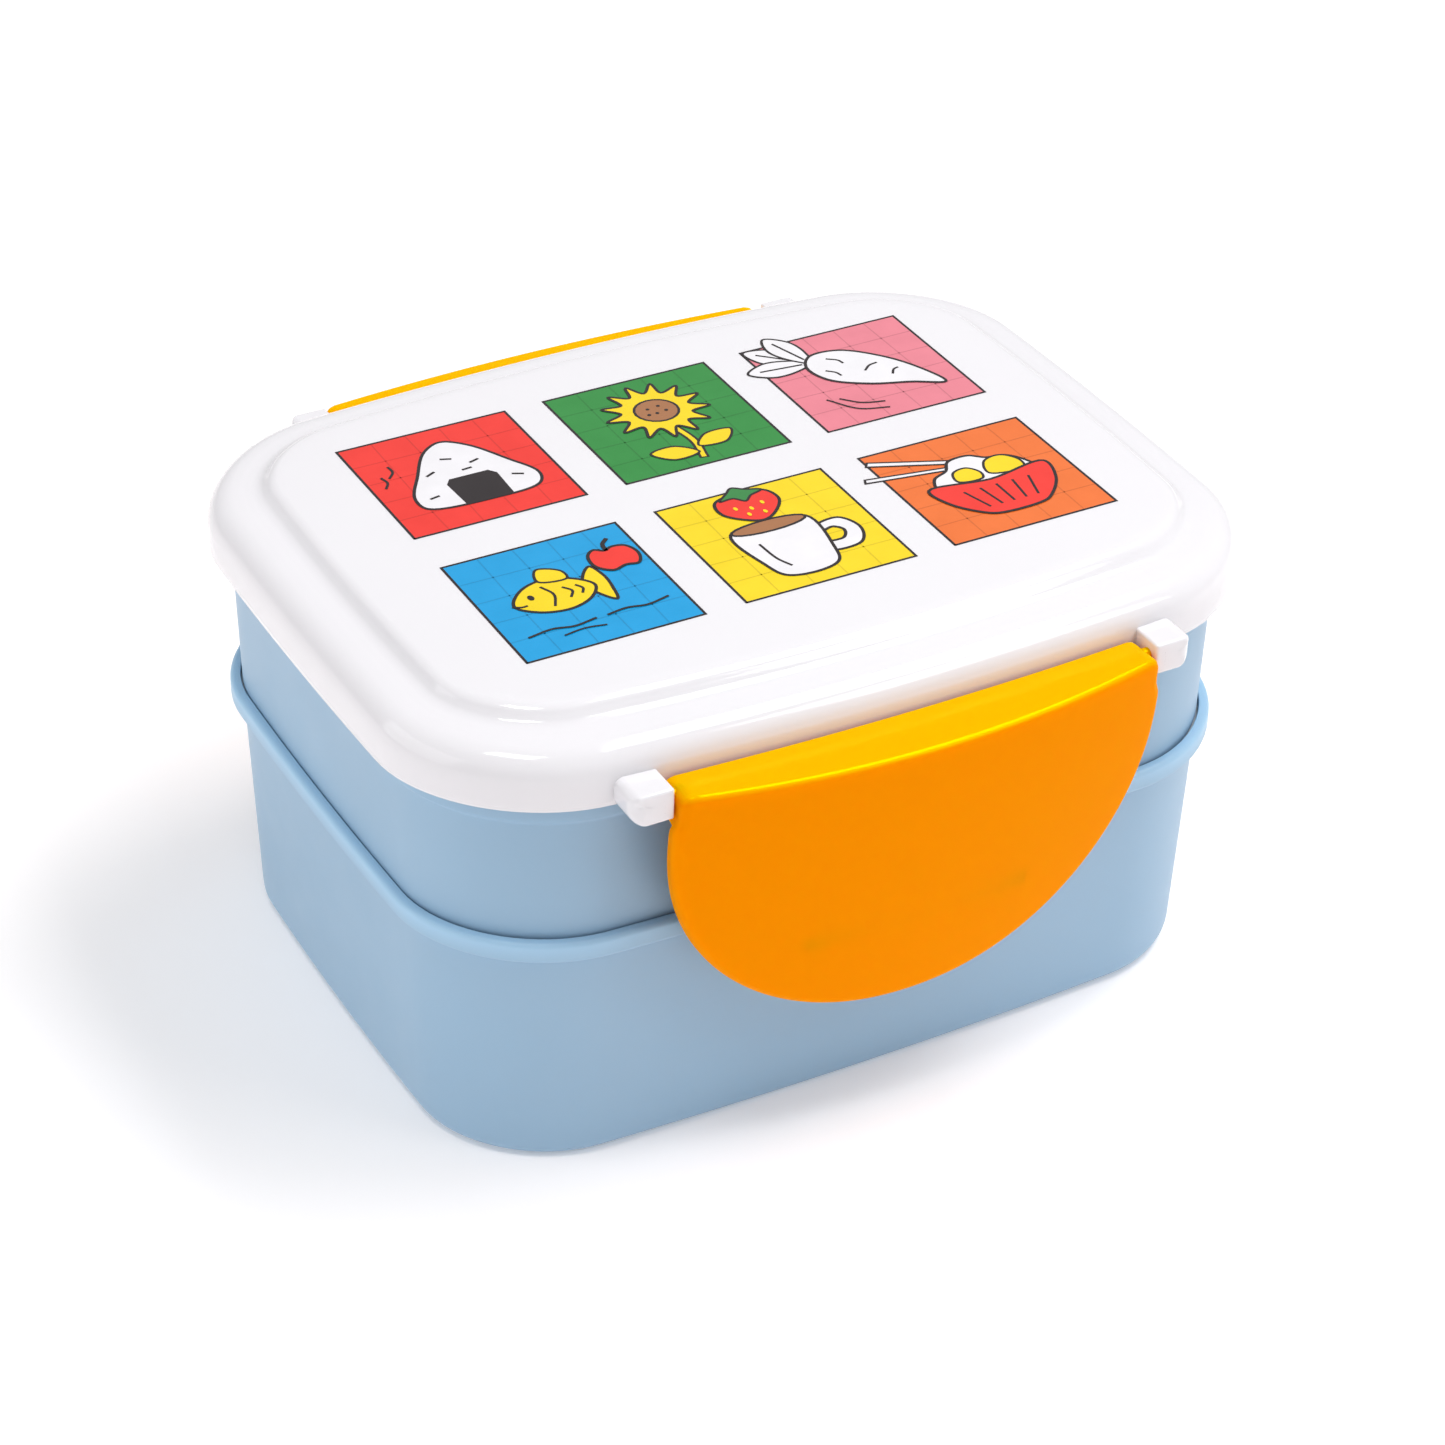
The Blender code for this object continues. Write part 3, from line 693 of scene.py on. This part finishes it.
class Drawing:
    """Flat printed shapes in one square; a unit is half the square's side."""

    def __init__(self, name, column, row, shade):
        self.name = name
        self.half = SQUARE / 2
        self.x = PRINT_CENTRE[0] + (column - 1) * (SQUARE + GAP_X)
        self.y = PRINT_CENTRE[1] + (0.5 - row) * (SQUARE + GAP_Y)
        self.bm = bmesh.new()
        self.inks = []
        self.layer = 0
        self.fill([(-1, -1), (1, -1), (1, 1), (-1, 1)], INKS[shade])
        self.layer = 1
        for number in range(1, 5):
            at = -1 + number * 0.4
            sway = 0.012 * (-1) ** number
            self.line([(at, -1), (at + sway, 0), (at, 1)], GRID_INKS[shade], GRID_WIDTH)
            self.line([(-1, at), (0, at - sway), (1, at)], GRID_INKS[shade], GRID_WIDTH)
        self.layer = 2
        self.line([(-1, -1), (1, -1), (1, 1), (-1, 1), (-1, -1)], INKS["black"],
                  BORDER_WIDTH)
        self.layer = 3

    def spot(self, u, v):
        """Place on the lid's top; each layer lies a little above the last."""
        height = LID_TOP + PRINT_LIFT + LAYER_STEP * self.layer
        return Vector((self.x + u * self.half, self.y + v * self.half, height)) * MM

    def slot(self, look):
        if look not in self.inks:
            self.inks.append(look)
        return self.inks.index(look)

    def fill(self, points, look):
        face = self.bm.faces.new([self.bm.verts.new(self.spot(u, v)) for u, v in points])
        face.material_index = self.slot(look)

    def line(self, points, look, width, closed=False):
        """Ribbon of even width, in millimetres, along a path."""
        path = [Vector(point) for point in points]
        half = width / 2 / self.half
        sides = []
        count = len(path)
        for i, point in enumerate(path):
            before = path[i - 1] if i or closed else point
            after = path[(i + 1) % count] if i + 1 < count or closed else point
            first = (point - before).normalized() if point != before else None
            second = (after - point).normalized() if point != after else None
            along = (first or second) + (second or first)
            along.normalize()
            reach = half / max(abs(along.dot(second or first)), 0.5)
            across = Vector((-along.y, along.x)) * reach
            if not closed and i == 0:
                point = point - along * half * 0.6
            if not closed and i == count - 1:
                point = point + along * half * 0.6
            sides.append((self.bm.verts.new(self.spot(*(point - across))),
                          self.bm.verts.new(self.spot(*(point + across)))))
        number = self.slot(look)
        pairs = list(zip(sides, sides[1:])) + ([(sides[-1], sides[0])] if closed else [])
        for (a, b), (c, d) in pairs:
            self.bm.faces.new((a, c, d, b)).material_index = number

    def shape(self, points, colour, width=0.62, smooth=True):
        """Filled shape with a black outline, drawn over what came before."""
        loop = flowing(points, True, 8) if smooth else [Vector(p) for p in points]
        self.layer += 1
        self.fill([(p.x, p.y) for p in loop], INKS[colour])
        self.layer += 1
        self.line(loop, INKS["black"], width, closed=True)

    def stroke(self, points, colour="black", width=0.5):
        self.line(flowing(points, False, 8), INKS[colour], width)

    def round_spot(self, u, v, across, up=None, colour="black", width=0.0):
        up = across if up is None else up
        loop = []
        for number in range(20):
            angle = math.tau * number / 20
            loop.append((u + across * math.cos(angle), v + up * math.sin(angle)))
        if width:
            self.shape(loop, colour, width, smooth=False)
        else:
            self.layer += 1
            self.fill(loop, INKS[colour])

    def done(self):
        """Turn the drawing into one flat piece that faces up."""
        for face in self.bm.faces:
            face.normal_update()
            if face.normal.z < 0:
                face.normal_flip()
        mesh = bpy.data.meshes.new(self.name)
        self.bm.to_mesh(mesh)
        self.bm.free()
        for look in self.inks:
            mesh.materials.append(look)
        piece = bpy.data.objects.new(self.name, mesh)
        bpy.context.scene.collection.objects.link(piece)
        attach(piece, "lid_body")


def rice_ball():
    art = Drawing("print_rice_ball", 0, 0, "red")
    art.shape([(-0.62, -0.52), (-0.66, -0.28), (-0.44, 0.14), (-0.16, 0.58), (0.08, 0.70),
               (0.32, 0.52), (0.58, 0.06), (0.76, -0.34), (0.66, -0.56), (0.1, -0.62)], "white")
    art.shape([(-0.20, -0.61), (-0.22, -0.16), (-0.16, -0.08), (0.28, -0.08), (0.34, -0.16),
               (0.32, -0.61)], "black", 0.5, smooth=False)
    for u, v, turn in ((-0.3, 0.12, 0.5), (-0.02, 0.34, -0.4), (0.24, 0.18, 0.3),
                       (-0.46, -0.34, 0.2), (0.54, -0.28, -0.5), (0.1, 0.06, 0.1)):
        art.stroke([(u - 0.05, v - 0.05 * turn), (u + 0.05, v + 0.05 * turn)], width=0.55)
    art.stroke([(-0.84, 0.06), (-0.78, 0.16), (-0.80, 0.28)])
    art.stroke([(-0.72, 0.24), (-0.64, 0.34), (-0.64, 0.46)])
    art.done()


def sunflower():
    art = Drawing("print_sunflower", 1, 0, "green")
    art.stroke([(0.02, -0.1), (0.08, -0.5), (0.02, -0.84)], "black", 1.9)
    art.layer += 1
    art.stroke([(0.02, -0.1), (0.08, -0.5), (0.02, -0.84)], "yellow", 0.9)
    art.shape([(0.08, -0.62), (0.26, -0.42), (0.56, -0.44), (0.40, -0.66)], "yellow", 0.5)
    art.shape([(0.02, -0.74), (-0.18, -0.52), (-0.48, -0.56), (-0.30, -0.78)], "yellow", 0.5)
    petals = []
    for number in range(26):
        angle = math.tau * number / 26
        reach = 0.60 if number % 2 else 0.40
        petals.append((0.02 + reach * math.cos(angle), 0.26 + reach * math.sin(angle)))
    art.shape(petals, "yellow", 0.6)
    art.round_spot(0.02, 0.26, 0.25, 0.24, "brown", 0.5)
    for u, v in ((-0.06, 0.32), (0.08, 0.34), (0.0, 0.2), (0.12, 0.22), (-0.1, 0.2)):
        art.round_spot(u, v, 0.022)
    art.done()


def radish():
    art = Drawing("print_radish", 2, 0, "pink")
    for tip_u, tip_v in ((-0.98, 0.98), (-1.16, 0.52), (-0.62, 1.16)):
        root = Vector((-0.40, 0.44))
        tip = Vector((tip_u, tip_v))
        side = Vector((-(tip - root).y, (tip - root).x)).normalized() * 0.16
        art.shape([root, root.lerp(tip, 0.35) + side * 0.9, root.lerp(tip, 0.7) + side, tip,
                   root.lerp(tip, 0.7) - side, root.lerp(tip, 0.35) - side * 0.9], "white", 0.5)
        art.stroke([root.lerp(tip, 0.15), root.lerp(tip, 0.8)], width=0.5)
    art.shape([(-0.50, 0.36), (-0.34, 0.58), (0.02, 0.56), (0.38, 0.24), (0.62, -0.16),
               (0.74, -0.60), (0.40, -0.44), (-0.06, -0.26), (-0.42, 0.02)], "white")
    art.stroke([(-0.20, 0.44), (-0.10, 0.36), (-0.08, 0.28)])
    art.stroke([(0.06, 0.02), (0.16, 0.10), (0.26, 0.12)])
    art.stroke([(0.30, -0.18), (0.36, -0.10), (0.42, -0.08)])
    art.stroke([(-0.34, 0.20), (-0.26, 0.12), (-0.24, 0.04)])
    art.stroke([(-0.52, -0.42), (-0.34, -0.60), (-0.10, -0.68)], width=0.4)
    art.stroke([(-0.66, -0.38), (-0.44, -0.70), (-0.12, -0.82)], width=0.4)
    art.done()


def fish():
    art = Drawing("print_fish", 0, 1, "blue")
    art.shape([(0.16, 0.06), (0.36, 0.34), (0.42, 0.12), (0.40, -0.12), (0.34, -0.34)], "yellow")
    art.shape([(-0.66, -0.02), (-0.46, 0.24), (-0.14, 0.32), (0.14, 0.18), (0.26, 0.0),
               (0.12, -0.20), (-0.16, -0.30), (-0.48, -0.22)], "yellow")
    art.shape([(-0.24, 0.30), (-0.16, 0.52), (0.06, 0.40), (0.06, 0.24)], "yellow", 0.5)
    art.round_spot(-0.44, 0.06, 0.035, 0.05)
    art.stroke([(-0.26, 0.20), (-0.20, 0.02), (-0.28, -0.18)])
    art.stroke([(-0.06, 0.10), (0.0, 0.0), (-0.06, -0.10)])
    art.stroke([(0.08, 0.08), (0.12, 0.0), (0.08, -0.08)])
    art.stroke([(-0.68, -0.02), (-0.60, -0.06), (-0.54, -0.06)])
    art.shape([(0.44, 0.52), (0.42, 0.30), (0.56, 0.16), (0.72, 0.20), (0.86, 0.18),
               (0.94, 0.36), (0.88, 0.54), (0.74, 0.58), (0.64, 0.54), (0.54, 0.60)], "red")
    art.stroke([(0.66, 0.54), (0.68, 0.66), (0.76, 0.74)], "black", 0.8)
    art.stroke([(-0.78, -0.60), (-0.50, -0.56), (-0.28, -0.61), (-0.02, -0.57)], width=0.5)
    art.stroke([(0.12, -0.57), (0.34, -0.54), (0.56, -0.58), (0.82, -0.53)], width=0.5)
    art.stroke([(-0.44, -0.72), (-0.20, -0.69), (0.02, -0.73)], width=0.4)
    art.done()


def mug():
    art = Drawing("print_mug", 1, 1, "yellow")
    art.shape([(0.34, -0.02), (0.66, 0.04), (0.78, -0.22), (0.64, -0.50), (0.28, -0.50),
               (0.28, -0.36), (0.52, -0.34), (0.60, -0.20), (0.52, -0.10), (0.34, -0.14)],
              "white")
    art.shape([(-0.52, 0.22), (-0.48, -0.44), (-0.38, -0.72), (-0.06, -0.80), (0.24, -0.72),
               (0.34, -0.44), (0.38, 0.22), (-0.06, 0.30)], "white")
    art.round_spot(-0.07, 0.22, 0.44, 0.11, "brown", 0.55)
    art.stroke([(-0.34, -0.08), (-0.31, -0.40), (-0.24, -0.58)])
    art.shape([(-0.36, 0.86), (-0.40, 0.62), (-0.20, 0.40), (-0.04, 0.34), (0.12, 0.42),
               (0.30, 0.66), (0.24, 0.88), (-0.04, 0.94)], "red")
    art.shape([(-0.30, 0.86), (-0.16, 0.98), (-0.06, 1.06), (0.06, 0.98), (0.22, 0.90),
               (0.06, 0.84), (-0.04, 0.76), (-0.14, 0.86)], "leaf", 0.5)
    for u, v in ((-0.22, 0.66), (-0.06, 0.60), (0.10, 0.66), (-0.14, 0.50), (0.04, 0.48)):
        art.round_spot(u, v, 0.022, 0.036, "yellow")
    art.done()


def rice_bowl():
    art = Drawing("print_rice_bowl", 2, 1, "orange")
    art.shape([(-1.20, 0.50), (-1.17, 0.57), (0.0, 0.36), (0.02, 0.30)], "white", 0.45,
              smooth=False)
    art.shape([(-1.02, 0.80), (-0.97, 0.87), (0.08, 0.42), (0.06, 0.35)], "white", 0.45,
              smooth=False)
    art.shape([(-0.56, 0.02), (-0.50, 0.24), (-0.30, 0.34), (-0.18, 0.50), (0.08, 0.52),
               (0.24, 0.40), (0.44, 0.36), (0.58, 0.20), (0.62, 0.02)], "white")
    art.shape([(0.10, 0.10), (0.18, 0.34), (0.40, 0.38), (0.54, 0.20), (0.50, 0.04)], "yellow",
              0.5)
    art.shape([(-0.30, 0.08), (-0.26, 0.26), (-0.08, 0.30), (0.02, 0.16), (-0.02, 0.04)],
              "yellow", 0.5)
    art.shape([(-0.68, 0.06), (-0.62, -0.28), (-0.38, -0.58), (-0.24, -0.66), (0.32, -0.66),
               (0.46, -0.58), (0.70, -0.28), (0.76, 0.06), (0.04, -0.02)], "red")
    for u, lean in ((-0.36, 0.10), (-0.16, 0.05), (0.04, 0.0), (0.24, -0.05), (0.44, -0.10)):
        art.stroke([(u, -0.14), (u + lean, -0.50)], width=0.5)
    art.done()


for draw in (rice_ball, sunflower, radish, fish, mug, rice_bowl):
    draw()


# ---------------------------------------------------------------- floor, light and camera

def floor():
    """White paper that glows a little, so it stays white round the shadows."""
    look, tree, shader = new_material("floor_paper")
    shade = spread(tree, noise(tree, 3.0, 2.0), 0.0, 1.0)
    tree.links.new(tint(tree, shade, (0.95, 0.92, 0.92), (0.96, 0.93, 0.93)),
                   shader.inputs["Base Color"])
    shader.inputs["Roughness"].default_value = 0.9
    shader.inputs["Specular IOR Level"].default_value = 0.1
    shader.inputs["Emission Color"].default_value = (1.0, 1.0, 1.0, 1.0)
    shader.inputs["Emission Strength"].default_value = FLOOR_GLOW
    bm = bmesh.new()
    bmesh.ops.create_grid(bm, x_segments=8, y_segments=8, size=FLOOR_HALF)
    piece = finished("floor", bm, look)
    piece.location.z = -FLOOR_DROP


def area_light(name, azimuth, elevation, distance, size, power):
    """Soft box aimed at the lunch box. Azimuth 0 stands in front, 90 to the right."""
    lamp = bpy.data.lights.new(name, "AREA")
    lamp.shape = "RECTANGLE"
    lamp.size, lamp.size_y = size
    lamp.energy = power
    piece = bpy.data.objects.new(name, lamp)
    turn, rise = math.radians(azimuth), math.radians(elevation)
    aim = Vector((0.0, 0.0, AIM_HEIGHT))
    away = Vector((math.sin(turn) * math.cos(rise), -math.cos(turn) * math.cos(rise),
                   math.sin(rise)))
    piece.location = aim + away * distance
    piece.rotation_euler = away.to_track_quat("Z", "Y").to_euler()
    bpy.context.scene.collection.objects.link(piece)


def sky():
    """White surround, brighter at the horizon than overhead."""
    world = bpy.data.worlds.new("surround")
    bpy.context.scene.world = world
    world.use_nodes = True
    tree = world.node_tree
    back = tree.nodes["Background"]
    back.inputs["Color"].default_value = (1.0, 1.0, 1.0, 1.0)
    place = tree.nodes.new("ShaderNodeTexCoord")
    split = tree.nodes.new("ShaderNodeSeparateXYZ")
    tree.links.new(place.outputs["Generated"], split.inputs["Vector"])
    ramp = tree.nodes.new("ShaderNodeMapRange")
    ramp.inputs["From Min"].default_value = -0.1
    ramp.inputs["From Max"].default_value = 0.9
    ramp.inputs["To Min"].default_value = HORIZON_STRENGTH
    ramp.inputs["To Max"].default_value = OVERHEAD_STRENGTH
    tree.links.new(split.outputs["Z"], ramp.inputs["Value"])
    tree.links.new(ramp.outputs["Result"], back.inputs["Strength"])


floor()
sky()
for light in LIGHTS:
    area_light(*light)

eye = bpy.data.cameras.new("camera")
eye.lens = CAMERA_LENS
eye.sensor_width = SENSOR_WIDTH
eye.clip_start = CLIP_START
camera = bpy.data.objects.new("camera", eye)
camera.location = CAMERA_AT
camera.rotation_euler = Euler([math.radians(turn) for turn in CAMERA_TURN])
bpy.context.scene.collection.objects.link(camera)
bpy.context.scene.camera = camera
bpy.context.scene.view_settings.view_transform = "Standard"
